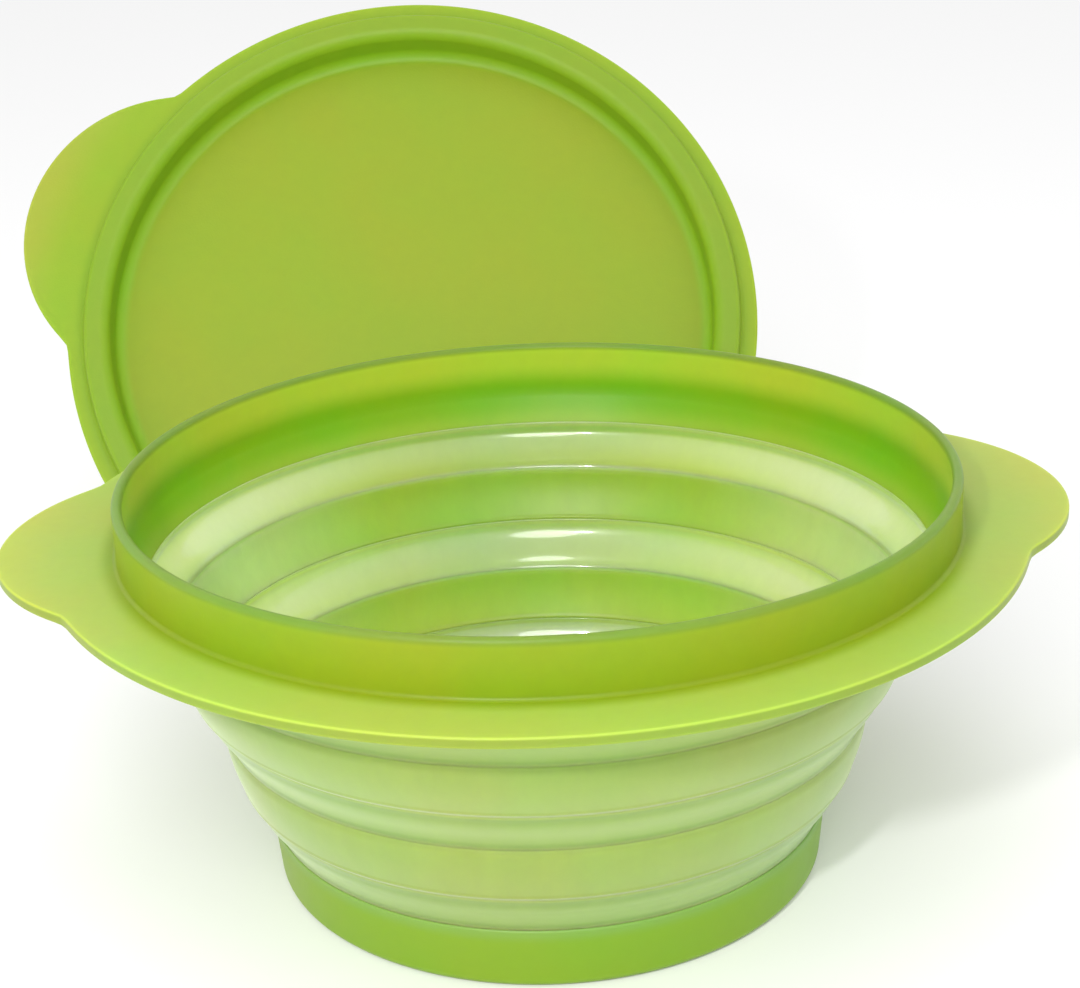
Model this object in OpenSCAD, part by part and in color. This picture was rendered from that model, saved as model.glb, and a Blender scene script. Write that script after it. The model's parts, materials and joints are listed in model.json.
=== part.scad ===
// Fold-flat bowl with a lid.
// The rim, the base and the lid are stiff mouldings. Between rim and base runs a soft wall of two
// thick rings and three thin webs. The webs turn inside out when the rim is pressed down, and the
// rings then nest around the base. The bowl stands open on z = 0 with its axis on Z, and the lid
// stands on its edge behind it, leaning back.

/* [Bowl] */
// Height from the foot to the lip
bowl_h = 76; // [68:0.5:92]
// Outer radius of the collar that the lid grips
lip_r = 75; // [70:0.5:92]
// Outer radius of the foot
foot_r = 50.8; // [42:0.2:54]

/* [Base] */
// Height of the stiff base
base_h = 11.9; // [9:0.1:14]
// Thickness of the floor
floor_t = 2.2; // [1.6:0.1:3.4]
// Thickness of the base's wall
base_wall = 2; // [1.4:0.1:2.8]
// How far the base's wall leans out from foot to top
base_lean = 1.1; // [0.4:0.1:3]
// Round between the foot and the wall
foot_round = 1.8; // [0.6:0.1:2.6]
// Round between the floor and the inside of the wall
floor_round = 4; // [2:0.5:6]
// Outer radius of the ring groove under the floor
groove_r = 44; // [30:0.5:48]
// Width of that groove
groove_w = 3; // [1:0.5:8]
// Depth of that groove
groove_d = 0.6; // [0.2:0.1:1]

/* [Soft wall] */
// Height of the lower thick ring
lower_ring_h = 11; // [8:0.1:13.5]
// How far the lower ring leans out
lower_ring_lean = 2.6; // [1:0.1:4]
// Height of the upper thick ring
upper_ring_h = 10.9; // [8:0.1:13.5]
// How far the upper ring leans out
upper_ring_lean = 3.6; // [1:0.1:4.5]
// Thickness of the thick rings
ring_t = 2; // [1.4:0.1:2.6]
// Thickness of the folding webs
web_t = 1; // [0.6:0.1:1.3]
// Share of the webs' total height in the lower web
lower_web_share = 0.34; // [0.25:0.01:0.4]
// Share of the webs' total height in the middle web
middle_web_share = 0.34; // [0.25:0.01:0.4]

/* [Rim] */
// Height of the collar above the flange
collar_h = 10; // [7:0.5:14]
// Thickness of the collar
collar_wall = 1.9; // [1.4:0.1:2.6]
// Width of the flange outside the collar
flange_w = 11.75; // [8:0.25:16]
// Thickness of the flange and of its tabs
flange_t = 1.9; // [1.4:0.1:2.6]
// Round at the foot of the collar
collar_fillet = 0.8; // [0.2:0.1:1.5]
// Height of the hem below the flange
hem_h = 5; // [2:0.1:6]
// Thickness of the hem at its lower edge
hem_t = 2.5; // [2:0.1:3.5]
// How far the hem's lower edge stands in from the collar's outside
hem_in = 2.1; // [1.6:0.1:3]
// How far the hem leans out from its lower edge to the flange
hem_lean = 1.2; // [0:0.1:1.4]

/* [Tabs] */
// How far the rim's tabs stand out past the flange
tab_out = 9.25; // [5:0.25:14]
// Radius of the tabs' round outline
tab_r = 38.7; // [28:0.1:46]
// Turn of the pair of tabs about the bowl's axis
tab_turn = 4.5; // [-20:0.5:20]

/* [Lid] */
// Width of the ledge outside the lid's skirt
ledge_w = 4; // [3:0.1:8]
// Thickness of the lid
lid_t = 1.1; // [1:0.1:1.9]
// Height of the raised crown above the ledge
crown_h = 3.4; // [2.6:0.1:5]
// Depth of the recessed panel below the ledge
panel_d = 6; // [4:0.1:7]
// Radius of the round around the panel
panel_round = 2.5; // [2:0.1:5]
// Radial clearance between the collar and the bead that grips it
grip_gap = 0.35; // [0.1:0.05:0.6]
// Radial clearance between the collar's inside and the panel's wall
plug_gap = 0.4; // [0.3:0.1:1.2]
// Width of the channel outside the collar
channel_w = 1.9; // [1.2:0.1:3]
// Slope of the skirt outside the channel, taken over its height
skirt_lean = 0.5; // [0.2:0.1:1]
// How far the lid's tab stands out past the ledge
lid_tab_out = 15.5; // [10:0.1:18]
// Radius of the lid's tab
lid_tab_r = 36.6; // [28:0.1:42]
// Turn of the lid's tab, counted from the right of the standing lid
lid_tab_turn = 158; // [120:1:180]

/* [Standing lid] */
// Lean of the standing lid back from upright
lid_tilt = 35.8; // [30:0.1:45]
// Sideways place of the lid
lid_x = -28.2; // [-40:0.1:0]
// How far the lid's foot tucks in under the flange's edge
lid_tuck = 4.5; // [0:0.1:4.5]

/* [Hidden] */
$fn = 96;

// Colours
green = [0.62, 0.78, 0.22];
soft_green = [0.66, 0.80, 0.42];
pale = [0.80, 0.88, 0.66];

// Heights of the tiers, from the foot up; the webs share what the stiff pieces leave
hem_z = bowl_h - collar_h - flange_t - hem_h;
flange_z = hem_z + hem_h;
flange_top = flange_z + flange_t;
webs_h = hem_z - base_h - lower_ring_h - upper_ring_h;
lower_ring_z = base_h + webs_h * lower_web_share;
middle_web_z = lower_ring_z + lower_ring_h;
upper_ring_z = middle_web_z + webs_h * middle_web_share;
upper_web_z = upper_ring_z + upper_ring_h;

// Radii of the wall's middle surface at those heights; the three webs step out equally
base_mid_r = foot_r + base_lean - base_wall / 2;
hem_r = lip_r - hem_in;
hem_mid_r = hem_r - hem_t / 2;
web_run = (hem_mid_r - base_mid_r - lower_ring_lean - upper_ring_lean) / 3;
lower_ring_mid_r = base_mid_r + web_run;
middle_web_mid_r = lower_ring_mid_r + lower_ring_lean;
upper_ring_mid_r = middle_web_mid_r + web_run;
upper_web_mid_r = upper_ring_mid_r + upper_ring_lean;

flange_r = lip_r + flange_w;
collar_in_r = lip_r - collar_wall;

// Radii of the lid, which follow the collar that it grips
plug_r = collar_in_r - plug_gap;
panel_mid_r = plug_r - panel_round - lid_t;
skirt_in_r = lip_r + channel_w;
skirt_r = skirt_in_r + lid_t;
ledge_r = skirt_r + ledge_w;
crown_round = lid_t + 1.5;
bead_h = lid_t / 2;

// Points on an arc about [cx, cy], from angle a0 to a1
function arc(cx, cy, r, a0, a1, n) =
    [for (i = [0:n]) [cx + r * cos(a0 + (a1 - a0) * i / n), cy + r * sin(a0 + (a1 - a0) * i / n)]];

// One face of a thick ring: upright at its top, curving in towards its bottom
function ring_face(r, lean, z, h, n = 6) =
    [for (i = [0:n]) [r + lean * sin(90 * i / n), z + h * i / n]];

function reversed(points) = [for (i = [len(points) - 1:-1:0]) points[i]];

module thick_ring(mid_r, lean, z, h) {
    rotate_extrude()
        polygon(concat(ring_face(mid_r + ring_t / 2, lean, z, h),
                       reversed(ring_face(mid_r - ring_t / 2, lean, z, h))));
}

module web(r0, z0, r1, z1) {
    rotate_extrude()
        polygon([[r0 + web_t / 2, z0], [r1 + web_t / 2, z1], [r1 - web_t / 2, z1], [r0 - web_t / 2, z0]]);
}

// A flat round-ended tab that stands out past radius edge_r, joined to a disc of that radius
module tab(edge_r, out, round_r, thickness) {
    centre = edge_r + out - round_r;
    linear_extrude(thickness)
        difference() {
            translate([centre, 0]) circle(round_r);
            circle(edge_r - 1);
        }
}

module base_cup() {
    top_r = base_mid_r + base_wall / 2;
    inner_r = top_r - base_wall;
    color(green)
        difference() {
            rotate_extrude()
                polygon(concat([[0, 0]],
                               arc(foot_r - foot_round, foot_round, foot_round, -90, 0, 5),
                               [[top_r, base_h], [inner_r, base_h]],
                               arc(foot_r - base_wall - floor_round, floor_t + floor_round,
                                   floor_round, 0, -90, 5),
                               [[0, floor_t]]));
            translate([0, 0, -1])
                linear_extrude(1 + groove_d)
                    difference() {
                        circle(groove_r);
                        circle(groove_r - groove_w);
                    }
        }
}

module lower_web() {
    color(pale) web(base_mid_r, base_h, lower_ring_mid_r, lower_ring_z);
}

module lower_ring() {
    color(soft_green) thick_ring(lower_ring_mid_r, lower_ring_lean, lower_ring_z, lower_ring_h);
}

module middle_web() {
    color(pale) web(middle_web_mid_r, middle_web_z, upper_ring_mid_r, upper_ring_z);
}

module upper_ring() {
    color(soft_green) thick_ring(upper_ring_mid_r, upper_ring_lean, upper_ring_z, upper_ring_h);
}

module upper_web() {
    color(pale) web(upper_web_mid_r, upper_web_z, hem_mid_r, hem_z);
}

module rim_ring() {
    lip_round = collar_wall / 2;
    edge_round = flange_t / 2;
    color(green) {
        rotate_extrude()
            polygon(concat([[hem_r - hem_t, hem_z], [hem_r, hem_z], [hem_r + hem_lean, flange_z]],
                           arc(flange_r - edge_round, flange_z + edge_round, edge_round, -90, 90, 6),
                           arc(lip_r + collar_fillet, flange_top + collar_fillet, collar_fillet, 270, 180, 3),
                           arc(lip_r - lip_round, bowl_h - lip_round, lip_round, 0, 180, 6),
                           [[collar_in_r, flange_top]]));
        for (turn = [tab_turn, tab_turn + 180])
            rotate(turn)
                translate([0, 0, flange_z])
                    tab(flange_r, tab_out, tab_r, flange_t);
    }
}

// The lid lying flat, its ledge's top on z = 0
module flat_lid() {
    edge_round = lid_t / 2;
    ledge_end = ledge_r - edge_round;
    bead_r = lip_r + grip_gap;
    crown_r = plug_r - lid_t + crown_round;
    crown_z = crown_h - crown_round;
    panel_z = panel_round - panel_d;
    rotate_extrude()
        polygon(concat([[0, -panel_d]],
                       arc(panel_mid_r, panel_z, panel_round, -90, 0, 6),
                       arc(crown_r, crown_z, crown_round, 180, 90, 5),
                       [[skirt_r - skirt_lean, crown_h], [skirt_r, 0]],
                       arc(ledge_end, -edge_round, edge_round, 90, -90, 5),
                       [[bead_r, -lid_t], [bead_r, -lid_t + bead_h], [skirt_in_r, 0],
                        [skirt_in_r - skirt_lean, crown_h - lid_t]],
                       arc(crown_r, crown_z, crown_round - lid_t, 90, 180, 4),
                       arc(panel_mid_r, panel_z, panel_round + lid_t, 0, -90, 6),
                       [[0, -panel_d - lid_t]]));
    rotate(lid_tab_turn)
        translate([0, 0, -lid_t])
            tab(ledge_r, lid_tab_out, lid_tab_r, lid_t);
}

// The lid stands on the round edge of its ledge
module lid() {
    edge_round = lid_t / 2;
    lid_y = flange_r - lid_tuck + ledge_r * sin(lid_tilt);
    lid_z = (ledge_r - edge_round) * cos(lid_tilt) + edge_round * sin(lid_tilt) + edge_round;
    color(green)
        translate([lid_x, lid_y, lid_z])
            rotate([90 - lid_tilt, 0, 0])
                flat_lid();
}

base_cup();
lower_web();
lower_ring();
middle_web();
upper_ring();
upper_web();
rim_ring();
lid();
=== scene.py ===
import json
import math

import bmesh
import bpy
from mathutils import Matrix, Vector


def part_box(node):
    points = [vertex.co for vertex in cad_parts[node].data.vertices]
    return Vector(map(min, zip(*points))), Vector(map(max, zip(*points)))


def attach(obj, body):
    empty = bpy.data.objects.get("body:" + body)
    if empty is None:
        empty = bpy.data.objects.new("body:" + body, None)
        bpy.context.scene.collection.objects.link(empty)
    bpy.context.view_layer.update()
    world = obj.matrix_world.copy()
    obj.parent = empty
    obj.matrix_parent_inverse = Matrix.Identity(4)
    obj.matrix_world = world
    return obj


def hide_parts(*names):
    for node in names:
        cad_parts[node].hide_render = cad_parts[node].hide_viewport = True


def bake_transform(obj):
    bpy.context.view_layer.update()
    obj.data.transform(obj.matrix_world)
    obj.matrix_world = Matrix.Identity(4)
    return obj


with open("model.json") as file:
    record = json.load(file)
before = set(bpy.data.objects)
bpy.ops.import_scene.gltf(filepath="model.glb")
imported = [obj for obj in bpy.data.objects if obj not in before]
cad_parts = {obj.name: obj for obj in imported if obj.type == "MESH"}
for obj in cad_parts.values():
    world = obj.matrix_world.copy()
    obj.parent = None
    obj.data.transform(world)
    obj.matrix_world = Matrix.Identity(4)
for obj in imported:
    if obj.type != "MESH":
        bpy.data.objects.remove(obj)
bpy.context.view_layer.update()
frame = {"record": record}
scene = bpy.context.scene

# --- Camera -----------------------------------------------------------------------------------
# A long lens in front of the bowl looks a little down into it, with a slight roll.
CAMERA_AT = (0.0005, -0.3551, 0.2048)
LOOK_DOWN = math.radians(20.78)
ROLL = math.radians(-2.23)
LENS_MM = 70.5

camera_data = bpy.data.cameras.new("camera")
camera_data.lens = LENS_MM
camera_data.sensor_width = 36.0
camera = bpy.data.objects.new("camera", camera_data)
camera.matrix_world = (
    Matrix.Translation(CAMERA_AT)
    @ Matrix.Rotation(math.pi / 2 - LOOK_DOWN, 4, "X")
    @ Matrix.Rotation(ROLL, 4, "Z")
)
scene.collection.objects.link(camera)
scene.camera = camera
scene.view_settings.view_transform = "Standard"

# --- Studio: a white floor and sky, with the light from above ---------------------------------------
# The floor is one wide sheet of white paper. A white sky fills in from every side, a broad panel hangs
# overhead and a small bright lamp beside the camera puts the glints on the webs and on the edges.
SKY_STRENGTH = 0.97

floor_mesh = bmesh.new()
bmesh.ops.create_grid(floor_mesh, x_segments=1, y_segments=1, size=6.0)
floor_data = bpy.data.meshes.new("floor")
floor_mesh.to_mesh(floor_data)
floor_mesh.free()
floor = bpy.data.objects.new("floor", floor_data)
floor_paper = bpy.data.materials.new("floor_paper")
floor_paper.use_nodes = True
floor_shader = floor_paper.node_tree.nodes["Principled BSDF"]
floor_shader.inputs["Base Color"].default_value = (0.9, 0.9, 0.9, 1.0)
floor_shader.inputs["Roughness"].default_value = 0.8
floor_shader.inputs["Specular IOR Level"].default_value = 0.0
floor_data.materials.append(floor_paper)
scene.collection.objects.link(floor)

world = bpy.data.worlds.new("sky")
world.use_nodes = True
world.node_tree.nodes["Background"].inputs["Color"].default_value = (1.0, 1.0, 1.0, 1.0)
world.node_tree.nodes["Background"].inputs["Strength"].default_value = SKY_STRENGTH
scene.world = world


def lamp(name, at, towards, size, watts):
    """A round soft light that faces a point."""
    data = bpy.data.lights.new(name, "AREA")
    data.shape = "DISK"
    data.size = size
    data.energy = watts
    thing = bpy.data.objects.new(name, data)
    thing.location = at
    thing.rotation_euler = (Vector(towards) - Vector(at)).to_track_quat("-Z", "Y").to_euler()
    scene.collection.objects.link(thing)


lamp("overhead", (0.0, -0.25, 1.5), (0, 0.03, 0.05), 1.0, 2.0)
lamp("front", (-0.03, -0.72, 0.56), (0, 0, 0.04), 0.35, 2.6)
lamp("glint", (-0.133, -0.403, 0.31), (0, 0.05, 0.03), 0.035, 1.0)

# --- Rim ------------------------------------------------------------------------------------------
# One stiff moulding in lime green plastic: an upright collar with a rounded lip, a flat flange with
# two tab handles to lift it by, and a hem below that the soft wall is bonded into.
MM = 0.001
SPIN_STEPS = 288
rim_low, rim_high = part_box("rim_ring")
collar_pin = next(m for m in frame["record"]["mounts"] if m["name"] == "lid_collar")
lip_r = collar_pin["dims"]["r_mm"] * MM
lip_z = rim_high.z
hem_z = rim_low.z
flange_r = rim_high.y
collar_wall = 1.9 * MM
flange_t = 1.9 * MM
flange_top = lip_z - 10 * MM
flange_z = flange_top - flange_t
hem_out_r = lip_r - 2.1 * MM
hem_in_r = hem_out_r - 2.5 * MM
collar_in_r = lip_r - collar_wall
TAB_TURN = math.radians(4.5)
TAB_OUT = 9.25 * MM
TAB_R = 38.7 * MM
NOTCH_SOFTNESS = 0.8 * MM


def turned(outline, rounds, to_axis=False):
    """A mesh turned about Z from a section of (radius, height) corners. rounds gives some corners,
    by their place in the list, as (cut, segments). With to_axis, the section starts and ends on
    the axis, and its edge along the axis is dropped."""
    mesh = bmesh.new()
    corners = [mesh.verts.new((r, 0.0, z)) for r, z in outline]
    mesh.faces.new(corners)
    axis_edge = mesh.edges.get((corners[0], corners[-1]))
    for place, (cut, segments) in rounds.items():
        bmesh.ops.bevel(mesh, geom=[corners[place]], offset=cut, offset_type="OFFSET", segments=segments,
                        profile=0.5, affect="VERTICES", material=-1)
    bmesh.ops.delete(mesh, geom=mesh.faces[:], context="FACES_ONLY")
    if to_axis:
        bmesh.ops.delete(mesh, geom=[axis_edge], context="EDGES")
    bmesh.ops.spin(mesh, geom=mesh.verts[:] + mesh.edges[:], cent=(0, 0, 0), axis=(0, 0, 1),
                   angle=math.tau, steps=SPIN_STEPS, use_merge=True, use_duplicate=False)
    bmesh.ops.remove_doubles(mesh, verts=mesh.verts[:], dist=0.002 * MM)
    bmesh.ops.recalc_face_normals(mesh, faces=mesh.faces[:])
    return mesh


def edge_with_tabs(mesh, base_r, fixed_r, round_r, tabs):
    """Pulls the outer edge of a flat ring out into round tabs. Each tab is (turn, reach, radius);
    the ring inside fixed_r stays, and the outermost round_r of the edge keeps its section."""
    for vert in mesh.verts:
        r = math.hypot(vert.co.x, vert.co.y)
        if r <= fixed_r:
            continue
        edge = base_r
        for turn, out, radius in tabs:
            centre = base_r + out - radius
            off = math.atan2(vert.co.y, vert.co.x) - turn
            inside = radius**2 - (centre * math.sin(off)) ** 2
            if inside > 0 and math.cos(off) > 0:
                gap = centre * math.cos(off) + math.sqrt(inside) - base_r
                edge = max(edge, base_r + (gap + math.hypot(gap, NOTCH_SOFTNESS)) / 2)
        share = min(1.0, (r - fixed_r) / (base_r - round_r - fixed_r))
        grown = (r + (edge - base_r) * share) / r
        vert.co.x *= grown
        vert.co.y *= grown


def finished(name, mesh, material, node):
    """The mesh as a smooth-shaded piece that stands for a CAD node."""
    data = bpy.data.meshes.new(name)
    mesh.to_mesh(data)
    mesh.free()
    data.shade_smooth()
    data.materials.append(material)
    piece = bpy.data.objects.new(name, data)
    scene.collection.objects.link(piece)
    piece.modifiers.new("even_shading", "WEIGHTED_NORMAL").keep_sharp = True
    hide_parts(node)
    return piece


def new_group(name, inputs, outputs):
    """An empty shader group with these named sockets, and its two ends."""
    group = bpy.data.node_groups.new(name, "ShaderNodeTree")
    for socket, kind in inputs.items():
        group.interface.new_socket(socket, in_out="INPUT", socket_type="NodeSocket" + kind)
    for socket, kind in outputs.items():
        group.interface.new_socket(socket, in_out="OUTPUT", socket_type="NodeSocket" + kind)
    return group, group.nodes.new("NodeGroupInput"), group.nodes.new("NodeGroupOutput")


def maths(tree, operation, *values, clamp=False):
    """A Math node on numbers or sockets; gives its output."""
    node = tree.nodes.new("ShaderNodeMath")
    node.operation = operation
    node.use_clamp = clamp
    for place, value in enumerate(values):
        if isinstance(value, (int, float)):
            node.inputs[place].default_value = value
        else:
            tree.links.new(value, node.inputs[place])
    return node.outputs[0]


def noise(tree, position, scale, detail, roughness=0.5):
    """A Noise node at so many patches to the metre; gives its value."""
    node = tree.nodes.new("ShaderNodeTexNoise")
    node.inputs["Scale"].default_value = scale
    node.inputs["Detail"].default_value = detail
    node.inputs["Roughness"].default_value = roughness
    tree.links.new(position, node.inputs["Vector"])
    return node.outputs["Fac"]


# How many patches to the metre each of the skin's noises has.
PIGMENT_CLOUDS = 28.0
PIGMENT_FLECKS = 420.0
FOLD_STREAKS = 260.0
HANDLING_SMEARS = 70.0
SPARK_FINISH = 2200.0


def moulded_skin():
    """Group: what a moulded plastic's skin does to its colour, gloss and surface. The pigment drifts
    slowly, folding leaves faint upright streaks, handling leaves dull smears, and the mould's fine
    spark finish is a bump."""
    group, inlet, outlet = new_group(
        "moulded_skin",
        {"Position": "Vector", "Colour": "Color", "Pigment": "Float", "Roughness": "Float",
         "Smears": "Float", "Streaks": "Float"},
        {"Colour": "Color", "Roughness": "Float", "Height": "Float"},
    )
    position = inlet.outputs["Position"]
    slow = maths(group, "SUBTRACT", noise(group, position, PIGMENT_CLOUDS, 3.0), 0.5)
    fine = maths(group, "SUBTRACT", noise(group, position, PIGMENT_FLECKS, 2.0), 0.5)
    drift = maths(group, "MULTIPLY_ADD", fine, 0.35, slow)
    upright = group.nodes.new("ShaderNodeVectorMath")
    upright.operation = "MULTIPLY"
    upright.inputs[1].default_value = (1.0, 1.0, 0.04)
    group.links.new(position, upright.inputs[0])
    streaks = noise(group, upright.outputs["Vector"], FOLD_STREAKS, 3.0, 0.6)
    streak = maths(group, "SUBTRACT", streaks, 0.5)
    drift = maths(group, "MULTIPLY_ADD", streak, inlet.outputs["Streaks"], drift)
    value = maths(group, "MULTIPLY_ADD", drift, inlet.outputs["Pigment"], 1.0)
    hue = maths(group, "MULTIPLY_ADD", slow, maths(group, "MULTIPLY", inlet.outputs["Pigment"], 0.5), 0.5)
    tint = group.nodes.new("ShaderNodeHueSaturation")
    group.links.new(value, tint.inputs["Value"])
    group.links.new(hue, tint.inputs["Hue"])
    group.links.new(inlet.outputs["Colour"], tint.inputs["Color"])
    group.links.new(tint.outputs["Color"], outlet.inputs["Colour"])
    smears = maths(group, "SUBTRACT", noise(group, position, HANDLING_SMEARS, 4.0, 0.65), 0.5)
    rough = maths(group, "MULTIPLY_ADD", smears, inlet.outputs["Smears"], inlet.outputs["Roughness"],
                  clamp=True)
    group.links.new(rough, outlet.inputs["Roughness"])
    group.links.new(noise(group, position, SPARK_FINISH, 2.0), outlet.inputs["Height"])
    return group


skin = moulded_skin()


def position_of(tree, place=None):
    """Object coordinates, turned and moved back to a piece's own moulding axes."""
    position = tree.nodes.new("ShaderNodeTexCoord").outputs["Object"]
    if place is None:
        return position
    mapping = tree.nodes.new("ShaderNodeMapping")
    mapping.vector_type = "TEXTURE"
    mapping.inputs["Location"].default_value = place.to_translation()
    mapping.inputs["Rotation"].default_value = place.to_euler()
    tree.links.new(position, mapping.inputs["Vector"])
    return mapping.outputs["Vector"]


def ramp(tree, value, start, end):
    """0 at start, 1 at end and smooth between."""
    node = tree.nodes.new("ShaderNodeMapRange")
    node.interpolation_type = "SMOOTHSTEP"
    node.inputs["From Min"].default_value = start
    node.inputs["From Max"].default_value = end
    tree.links.new(value, node.inputs["Value"])
    return node.outputs["Result"]


def by_radius(start, end):
    """A mask that grows with the distance from the moulding's axis."""
    def mask(tree, position):
        flat = tree.nodes.new("ShaderNodeVectorMath")
        flat.operation = "MULTIPLY"
        flat.inputs[1].default_value = (1.0, 1.0, 0.0)
        tree.links.new(position, flat.inputs[0])
        length = tree.nodes.new("ShaderNodeVectorMath")
        length.operation = "LENGTH"
        tree.links.new(flat.outputs["Vector"], length.inputs[0])
        return ramp(tree, length.outputs["Value"], start, end)
    return mask


def by_height(start, end):
    """A mask that grows with the height along the moulding's axis, or against it if end is lower."""
    def mask(tree, position):
        split = tree.nodes.new("ShaderNodeSeparateXYZ")
        tree.links.new(position, split.inputs[0])
        return ramp(tree, split.outputs["Z"], start, end)
    return mask


def by_flank(start, end):
    """A mask that grows towards the two flanks of the bowl, under the handles."""
    def mask(tree, position):
        split = tree.nodes.new("ShaderNodeSeparateXYZ")
        tree.links.new(position, split.inputs[0])
        return ramp(tree, maths(tree, "ABSOLUTE", split.outputs["X"]), start, end)
    return mask


def by_attribute(name):
    """A mask stored on the mesh's points."""
    def mask(tree, position):
        node = tree.nodes.new("ShaderNodeAttribute")
        node.attribute_name = name
        return node.outputs["Fac"]
    return mask


def both(first, second):
    """A mask that is full only where both of these are."""
    def mask(tree, position):
        return maths(tree, "MULTIPLY", first(tree, position), second(tree, position))
    return mask


# The colour sockets of a Mix node, whose names its other kinds share.
MIX_A = 6
MIX_B = 7


def plastic(name, colour, layers, pigment, rough, grain, glow, depth_mm, smears=0.12, streaks=0.0,
            clear=0.0, shine=0.35, bloom=0.0, gloss=None, place=None):
    """A translucent moulded plastic. layers are (mask, colour) laid over the first colour in turn,
    glow is the share of light that sinks in, depth_mm how far it travels and clear what goes
    through. bloom is a milky sheen, and gloss a mask for a wet-looking skin."""
    material = bpy.data.materials.new(name)
    material.use_nodes = True
    tree = material.node_tree
    shader = tree.nodes["Principled BSDF"]
    position = position_of(tree, place)
    skinned = tree.nodes.new("ShaderNodeGroup")
    skinned.node_tree = skin
    skinned.inputs["Pigment"].default_value = pigment
    skinned.inputs["Roughness"].default_value = rough
    skinned.inputs["Smears"].default_value = smears
    skinned.inputs["Streaks"].default_value = streaks
    tree.links.new(position, skinned.inputs["Position"])
    below = None
    for mask, over in layers:
        mix = tree.nodes.new("ShaderNodeMix")
        mix.data_type = "RGBA"
        tree.links.new(mask(tree, position), mix.inputs["Factor"])
        mix.inputs[MIX_A].default_value = (*colour, 1.0)
        mix.inputs[MIX_B].default_value = (*over, 1.0)
        if below is not None:
            tree.links.new(below, mix.inputs[MIX_A])
        below = mix.outputs[2]
    tree.links.new(below, skinned.inputs["Colour"])
    bump = tree.nodes.new("ShaderNodeBump")
    bump.inputs["Strength"].default_value = grain
    bump.inputs["Distance"].default_value = 0.05 * MM
    tree.links.new(skinned.outputs["Height"], bump.inputs["Height"])
    tree.links.new(skinned.outputs["Colour"], shader.inputs["Base Color"])
    tree.links.new(skinned.outputs["Roughness"], shader.inputs["Roughness"])
    tree.links.new(bump.outputs["Normal"], shader.inputs["Normal"])
    shader.inputs["Subsurface Weight"].default_value = glow
    shader.inputs["Subsurface Radius"].default_value = (0.8, 1.0, 0.35)
    shader.inputs["Subsurface Scale"].default_value = depth_mm * MM
    shader.inputs["Transmission Weight"].default_value = clear
    shader.inputs["IOR"].default_value = 1.49
    shader.inputs["Specular IOR Level"].default_value = shine
    if gloss is not None:
        tree.links.new(gloss(tree, position), shader.inputs["Coat Weight"])
    shader.inputs["Coat Roughness"].default_value = 0.07
    shader.inputs["Sheen Weight"].default_value = bloom
    shader.inputs["Sheen Roughness"].default_value = 0.5
    shader.inputs["Sheen Tint"].default_value = (0.92, 1.0, 0.85, 1.0)
    return material


# Two loops across the flange, which let it stretch evenly out into the tabs.
FLANGE_LOOPS = (80 * MM, 84 * MM)
LIME = (0.235, 0.33, 0.01)
# Painted light: the collar's inside is painted lighter and yellower than its outside, for the light that
# comes through its thin wall.
LIME_INSIDE_LIT = (0.39, 0.515, 0.035)
# Painted shade: inside the collar, a deeper green band runs from 4 mm below the lip down past the flange. It
# is partly the look of the thicker plastic at the flange's root and partly painted shade. LIME_HEM lightens
# it again towards the hem's foot.
LIME_DEEP_SHADE = (0.17, 0.39, 0.004)
LIME_HEM = (0.27, 0.45, 0.03)
LIME_YELLOW = (0.33, 0.435, 0.065)
LIME_TIP = (0.385, 0.45, 0.06)
# Painted shade: the top of the lip is painted darker and greyer, so the overhead light does not make it
# bright.
LIME_LIP_SHADE = (0.15, 0.24, 0.03)
# Painted shade: the flange's outer edge, and the tabs' edges and undersides, are painted darker against the
# front lamp's light on them.
LIME_EDGE_SHADE = (0.23, 0.30, 0.04)

rim_section = [
    (hem_in_r, hem_z), (hem_out_r, hem_z), (hem_out_r + 1.2 * MM, flange_z),
    (FLANGE_LOOPS[0], flange_z), (FLANGE_LOOPS[1], flange_z), (flange_r, flange_z), (flange_r, flange_top),
    (FLANGE_LOOPS[1], flange_top), (FLANGE_LOOPS[0], flange_top), (lip_r, flange_top),
    (lip_r, lip_z), (collar_in_r, lip_z), (collar_in_r, flange_top),
]
rim_rounds = {
    0: (0.3 * MM, 3), 1: (0.3 * MM, 3), 2: (0.8 * MM, 4), 5: (0.4 * MM, 4), 6: (0.4 * MM, 4),
    9: (0.8 * MM, 5), 10: (0.9 * MM, 6), 11: (0.9 * MM, 6), 12: (1.5 * MM, 4),
}
rim_mesh = turned(rim_section, rim_rounds)
edge_with_tabs(rim_mesh, flange_r, lip_r + 1.2 * MM, 1.2 * MM,
               [(TAB_TURN, TAB_OUT, TAB_R), (TAB_TURN + math.pi, TAB_OUT, TAB_R)])
collar_inside = by_radius(lip_r - 0.4 * MM, collar_in_r + 0.2 * MM)
below_top_face = by_height(flange_top - 0.1 * MM, flange_top - 0.5 * MM)
outer_edge = by_radius(flange_r - 1 * MM, flange_r - 0.5 * MM)
rim_layers = [
    (by_radius(lip_r + 0.5 * MM, lip_r + 4 * MM), LIME_YELLOW),
    (by_radius(flange_r - 3 * MM, flange_r + TAB_OUT), LIME_TIP),
    # Painted light through the collar's thin wall, on its inside.
    (collar_inside, LIME_INSIDE_LIT),
    # Painted shade inside the collar, from 4 mm below the lip down.
    (both(collar_inside, by_height(lip_z - 4 * MM, flange_top)), LIME_DEEP_SHADE),
    (both(collar_inside, by_height(flange_z, hem_z)), LIME_HEM),
    # Painted shade on the top of the lip.
    (by_height(lip_z - 1.6 * MM, lip_z - 0.3 * MM), LIME_LIP_SHADE),
    # Painted shade on the flange's outer edge and below the tabs.
    (both(below_top_face, outer_edge), LIME_EDGE_SHADE),
]
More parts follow.
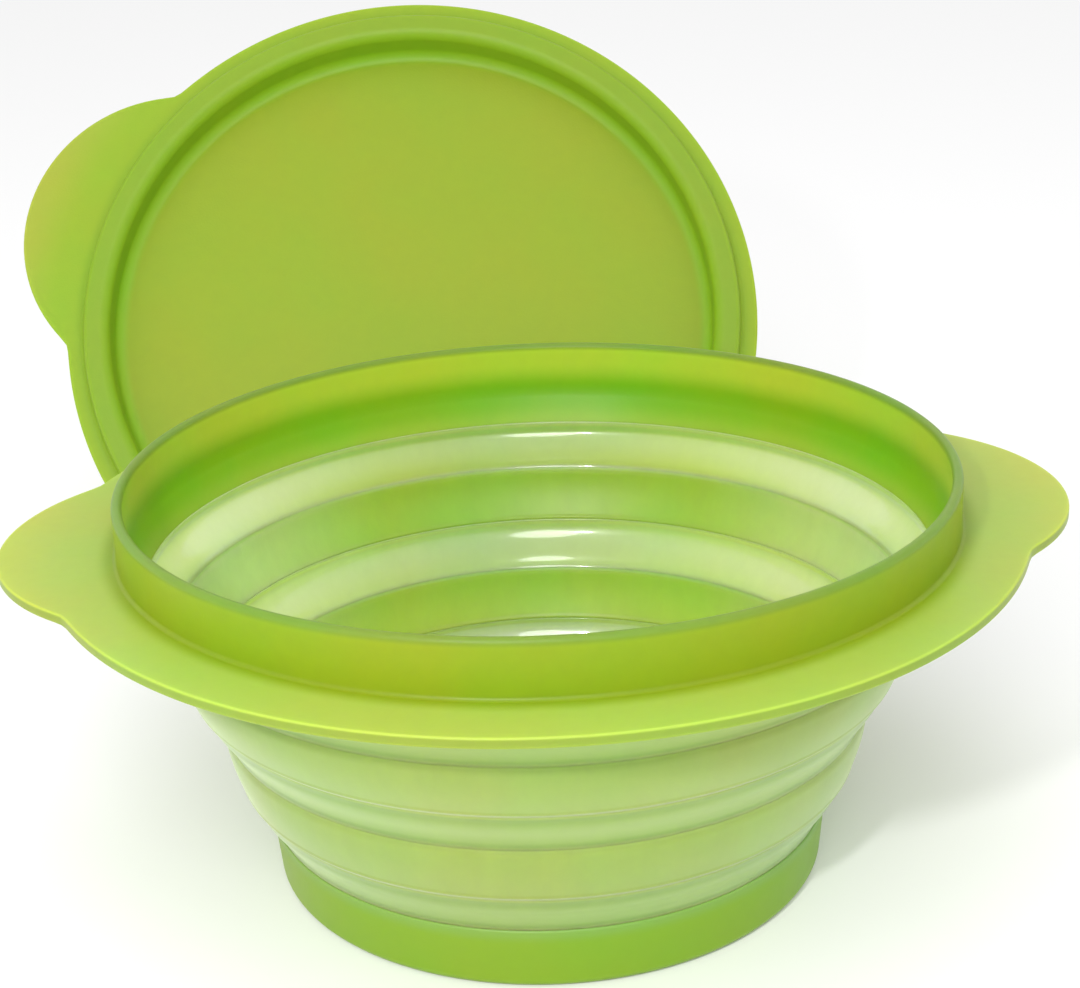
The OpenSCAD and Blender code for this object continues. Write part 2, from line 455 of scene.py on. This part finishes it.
rim_plastic = plastic("rim_plastic", LIME, rim_layers, pigment=0.16, rough=0.4, grain=0.25, glow=0.8,
                      depth_mm=3.5, shine=0.2)
rim = finished("rim_moulding", rim_mesh, rim_plastic, "rim_ring")
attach(rim, "rim")

# --- Base -----------------------------------------------------------------------------------------
# A stiff shallow cup in the same green plastic, which the soft wall is bonded to. It stands on its
# flat floor, with a ring groove moulded into the underside.
base_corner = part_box("base_cup")[1]
base_h = base_corner.z
base_top_r = base_corner.x
foot_r = base_top_r - 1.1 * MM
base_wall = 2.0 * MM
floor_t = 2.2 * MM
groove_r = 44 * MM
groove_w = 3 * MM
groove_d = 0.6 * MM
BASE_GREEN = (0.19, 0.335, 0.012)
BASE_TOP_GREEN = (0.19, 0.34, 0.06)

base_section = [
    (0, 0), (groove_r - groove_w, 0), (groove_r - groove_w, groove_d), (groove_r, groove_d), (groove_r, 0),
    (foot_r, 0), (base_top_r, base_h), (base_top_r - base_wall, base_h),
    (foot_r - base_wall, floor_t), (0, floor_t),
]
base_rounds = {
    1: (0.3 * MM, 3), 2: (0.25 * MM, 2), 3: (0.25 * MM, 2), 4: (0.3 * MM, 3), 5: (1.8 * MM, 8),
    6: (0.5 * MM, 3), 7: (0.5 * MM, 3), 8: (4 * MM, 8),
}
base_mesh = turned(base_section, base_rounds, to_axis=True)
base_layers = [(by_height(base_h - 3 * MM, base_h), BASE_TOP_GREEN)]
base_plastic = plastic("base_plastic", BASE_GREEN, base_layers, pigment=0.1, rough=0.4, grain=0.25, glow=0.6,
                       depth_mm=2.2)
base = finished("base_moulding", base_mesh, base_plastic, "base_cup")
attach(base, "base")

# --- Thick rings of the soft wall -------------------------------------------------------------------
# Two rings of soft translucent rubber, thick enough to stay round when the wall folds. Each is upright
# at its top, curves in towards its bottom, and thins down at both ends to meet the webs.
ring_t = 2.0 * MM
web_t = 1.0 * MM
RING_STEP = 0.3 * MM
TAPER = 1.6 * MM
# Width of the painted highlight lines at the ends of rings and webs.
END_W = 0.7 * MM
# The painted light deep in the bowl fades in between these two heights.
SHALLOW_Z = 45 * MM
DEEP_Z = 15 * MM
BEAD = 0.22 * MM
BEAD_W = 0.55 * MM
BEAD_Z = 1.6 * BEAD_W
RING_OUTSIDE = (0.26, 0.34, 0.068)
# Painted light: the insides of rings and webs get their own colours, greener on the rings and lighter on the
# webs, for the light that comes through the wall.
RING_INSIDE_LIT = (0.275, 0.41, 0.035)
# Painted light: lower down in the bowl the insides are painted lighter, lifting the shade there.
RING_DEEP_LIT = (0.38, 0.48, 0.065)
# Painted light: on the two flanks the insides are painted milkier and whiter, for light coming through the
# wall from the sides.
RING_FLANK_LIT = (0.40, 0.50, 0.19)
# Painted highlight: thin light lines where rings and webs end, inside and out. They also lift the dark seams
# between the pieces.
RING_END = (0.42, 0.66, 0.15)
RING_EDGE_HIGHLIGHT = (0.33, 0.44, 0.09)


def smooth(share):
    """Eases 0 to 1 in and out, and holds it outside them."""
    share = min(1.0, max(0.0, share))
    return share * share * (3 - 2 * share)


def note_sides(mesh, low, high):
    """Stores on each point how far it faces the inside of the bowl, how near it is to an end, how far
    down towards the piece's foot it is, and how deep down in the bowl."""
    inside = mesh.verts.layers.float.new("inside")
    end = mesh.verts.layers.float.new("end")
    foot = mesh.verts.layers.float.new("foot")
    deep = mesh.verts.layers.float.new("deep")
    mesh.normal_update()
    for vert in mesh.verts:
        outward = Vector((vert.co.x, vert.co.y, 0)).normalized()
        vert[inside] = smooth(0.5 - vert.normal.dot(outward) / 0.6)
        vert[end] = smooth(1 - min(vert.co.z - low, high - vert.co.z) / END_W)
        vert[foot] = smooth(1 - (vert.co.z - low) / (high - low) / 0.7)
        vert[deep] = smooth((SHALLOW_Z - vert.co.z) / (SHALLOW_Z - DEEP_Z))


def thick_ring(name, node, body, lean, rows=44):
    """One ring. lean is how much wider its top is than its foot, where it has a small round bead."""
    low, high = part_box(node)
    h = high.z - low.z
    foot = high.x - lean - ring_t / 2
    outside, inside = [], []
    for row in range(rows + 1):
        z = h * (1 - math.cos(math.pi * row / rows)) / 2
        middle = foot + lean * math.sin(math.pi / 2 * z / h)
        end = min(z, h - z)
        half = (web_t + RING_STEP + (ring_t - web_t - RING_STEP) * math.sqrt(smooth(end / TAPER))) / 2
        half += BEAD * smooth(1 - abs(z - BEAD_Z) / BEAD_W)
        outside.append((middle + half, low.z + z))
        inside.append((middle - half, low.z + z))
    mesh = turned(outside + inside[::-1], {})
    note_sides(mesh, low.z, high.z)
    piece = finished(name, mesh, ring_rubber, node)
    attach(piece, body)


ring_layers = [
    # Painted light through the wall, on the ring's inside.
    (by_attribute("inside"), RING_INSIDE_LIT),
    # Painted light deep in the bowl.
    (both(by_attribute("inside"), by_attribute("deep")), RING_DEEP_LIT),
    # Painted light through the wall on the flanks.
    (both(by_attribute("inside"), by_flank(30 * MM, 62 * MM)), RING_FLANK_LIT),
    # Painted highlight lines at the ends.
    (by_attribute("end"), RING_EDGE_HIGHLIGHT),
    (both(by_attribute("inside"), by_attribute("end")), RING_END),
]
ring_rubber = plastic("ring_rubber", RING_OUTSIDE, ring_layers, pigment=0.2, rough=0.42, grain=0.2, glow=0.95,
                      depth_mm=8.0, smears=0.05, streaks=0.7, clear=0.05, bloom=0.4)
thick_ring("lower_thick_ring", "lower_ring", "lower_tier", 2.6 * MM)
thick_ring("upper_thick_ring", "upper_ring", "upper_tier", 3.6 * MM)

# --- Thin webs of the soft wall ---------------------------------------------------------------------
# Three cones of the same rubber, half as thick. Their milky look where light comes through is partly the
# sheen and the rubber's own scattering, and partly painted light in their inside colours. Each one rolls
# inside out as the piece above it is pressed down past the piece below.
WEB_OUTSIDE = (0.155, 0.245, 0.055)
# Painted light through the wall: the webs' insides are painted much lighter than their outsides.
WEB_INSIDE_LIT = (0.32, 0.56, 0.14)
# Painted light: the webs' insides are lighter lower down in the bowl.
WEB_DEEP_LIT = (0.44, 0.66, 0.28)
# Painted light through the wall on the flanks.
WEB_FLANK_LIT = (0.36, 0.50, 0.24)
BULGE = 0.3 * MM
EASE = 0.35
TUCK = 0.5 * MM
FLARE = 1.4 * MM
RING_END_HALF = (web_t + RING_STEP) / 2 + 0.03 * MM
HEM_END_HALF = (hem_out_r - hem_in_r) / 2 - 0.05 * MM


def thin_web(name, node, lower_node, top_half=RING_END_HALF, rows=36):
    """One web, from the top of the node below it to the foot of the one above. Both its ends flare
    and are tucked in, and the top one is twice top_half thick."""
    low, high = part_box(node)
    top = high.x - web_t / 2
    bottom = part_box(lower_node)[1].x - ring_t / 2
    flare_above = FLARE + top_half - RING_END_HALF
    outside, inside = [], []
    for row in range(rows + 1):
        z = low.z - TUCK + (high.z - low.z + 2 * TUCK) * row / rows
        share = min(1.0, max(0.0, (z - low.z) / (high.z - low.z)))
        eased = share - EASE * math.sin(math.tau * share) / math.tau
        middle = bottom + (top - bottom) * eased + BULGE * math.sin(math.pi * share)
        half = web_t / 2 * (1 - 0.2 * math.sin(math.pi * share))
        half += (RING_END_HALF - web_t / 2) * (1 - smooth((z - low.z) / FLARE))
        half += (top_half - web_t / 2) * (1 - smooth((high.z - z) / flare_above))
        outside.append((middle + half, z))
        inside.append((middle - half, z))
    mesh = turned(outside + inside[::-1], {})
    note_sides(mesh, low.z, high.z)
    piece = finished(name, mesh, web_rubber, node)
    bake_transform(piece)


web_layers = [
    # Painted light through the wall, on the web's inside.
    (by_attribute("inside"), WEB_INSIDE_LIT),
    # Towards its foot, the web's inside takes the rings' painted inside colour.
    (both(by_attribute("inside"), by_attribute("foot")), RING_INSIDE_LIT),
    # Painted light deep in the bowl.
    (both(by_attribute("inside"), by_attribute("deep")), WEB_DEEP_LIT),
    # Painted light through the wall on the flanks.
    (both(by_attribute("inside"), by_flank(30 * MM, 66 * MM)), WEB_FLANK_LIT),
    # Painted highlight lines at the ends.
    (by_attribute("end"), RING_EDGE_HIGHLIGHT),
    (both(by_attribute("inside"), by_attribute("end")), RING_END),
]
web_rubber = plastic("web_rubber", WEB_OUTSIDE, web_layers, pigment=0.18, rough=0.3, grain=0.1, glow=0.95,
                     depth_mm=10.0, smears=0.03, streaks=0.8, clear=0.1, bloom=0.3,
                     gloss=by_attribute("inside"))
thin_web("lower_thin_web", "lower_web", "base_cup")
thin_web("middle_thin_web", "middle_web", "lower_ring")
thin_web("upper_thin_web", "upper_web", "upper_ring", top_half=HEM_END_HALF)

# --- Lid ------------------------------------------------------------------------------------------
# One moulding in the same lime plastic. A thin ledge runs round it and grows into one pull tab, the
# raised crown hides the channel that grips the collar, and the flat panel sits deep inside it.
LID_TILT = math.radians(35.8)
LEDGE_W = 4.0 * MM
lid_t = 1.1 * MM
crown_h = 3.4 * MM
panel_d = 6 * MM
panel_round = 2.5 * MM
crown_round = lid_t + 1.5 * MM
plug_r = collar_in_r - 0.4 * MM
bead_r = lip_r + 0.35 * MM
skirt_in_r = lip_r + 1.9 * MM
skirt_r = skirt_in_r + lid_t
skirt_lean = 0.5 * MM
ledge_r = skirt_r + LEDGE_W
recess_r = plug_r - lid_t
LID_TAB = (math.radians(158), 15.5 * MM, 36.6 * MM)

lid_section = [
    (0, -panel_d), (recess_r, -panel_d), (recess_r, crown_h), (skirt_r - skirt_lean, crown_h),
    (skirt_r, 0), (ledge_r - 1.5 * MM, 0), (ledge_r, 0), (ledge_r, -lid_t), (ledge_r - 1.5 * MM, -lid_t),
    (bead_r, -lid_t), (bead_r, -lid_t / 2), (skirt_in_r, 0), (skirt_in_r - skirt_lean, crown_h - lid_t),
    (plug_r, crown_h - lid_t), (plug_r, -panel_d - lid_t), (0, -panel_d - lid_t),
]
lid_rounds = {
    1: (panel_round, 8), 2: (crown_round, 8), 3: (0.9 * MM, 4), 4: (1.2 * MM, 5), 6: (0.5 * MM, 4),
    7: (0.5 * MM, 4), 9: (0.2 * MM, 2), 12: (0.4 * MM, 3), 13: (crown_round - lid_t, 4),
    14: (panel_round + lid_t, 8),
}
lid_mesh = turned(lid_section, lid_rounds, to_axis=True)
edge_with_tabs(lid_mesh, ledge_r, skirt_r + 0.6 * MM, 0.6 * MM, [LID_TAB])
lid_stands_at = Vector((
    -28.2 * MM,
    flange_r - 4.5 * MM + ledge_r * math.sin(LID_TILT),
    (ledge_r - lid_t / 2) * math.cos(LID_TILT) + lid_t / 2 * (1 + math.sin(LID_TILT)),
))
lid_place = Matrix.Translation(lid_stands_at) @ Matrix.Rotation(math.pi / 2 - LID_TILT, 4, "X")
bmesh.ops.transform(lid_mesh, matrix=lid_place, verts=lid_mesh.verts[:])
PANEL = (0.25, 0.33, 0.008)
# Painted shade: a deeper green band from the panel's round up the recess wall, for the shade on that wall.
LID_WALL_SHADE = (0.22, 0.385, 0.01)
LID_CROWN = (0.205, 0.33, 0.011)
LID_LEDGE = (0.245, 0.36, 0.010)
LID_TIP = (0.31, 0.36, 0.03)
lid_layers = [
    # Painted shade on the recess wall.
    (by_radius(recess_r - 3.5 * MM, recess_r - 1 * MM), LID_WALL_SHADE),
    (by_radius(recess_r, recess_r + 2.5 * MM), LID_CROWN),
    (by_radius(skirt_r, ledge_r - 1 * MM), LID_LEDGE),
    (by_radius(ledge_r + 2 * MM, ledge_r + LID_TAB[1]), LID_TIP),
]
lid_plastic = plastic("lid_plastic", PANEL, lid_layers, pigment=0.1, rough=0.5, grain=0.6, glow=0.6,
                      depth_mm=3.0, place=lid_place)
lid = finished("lid_moulding", lid_mesh, lid_plastic, "lid")
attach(lid, "lid")
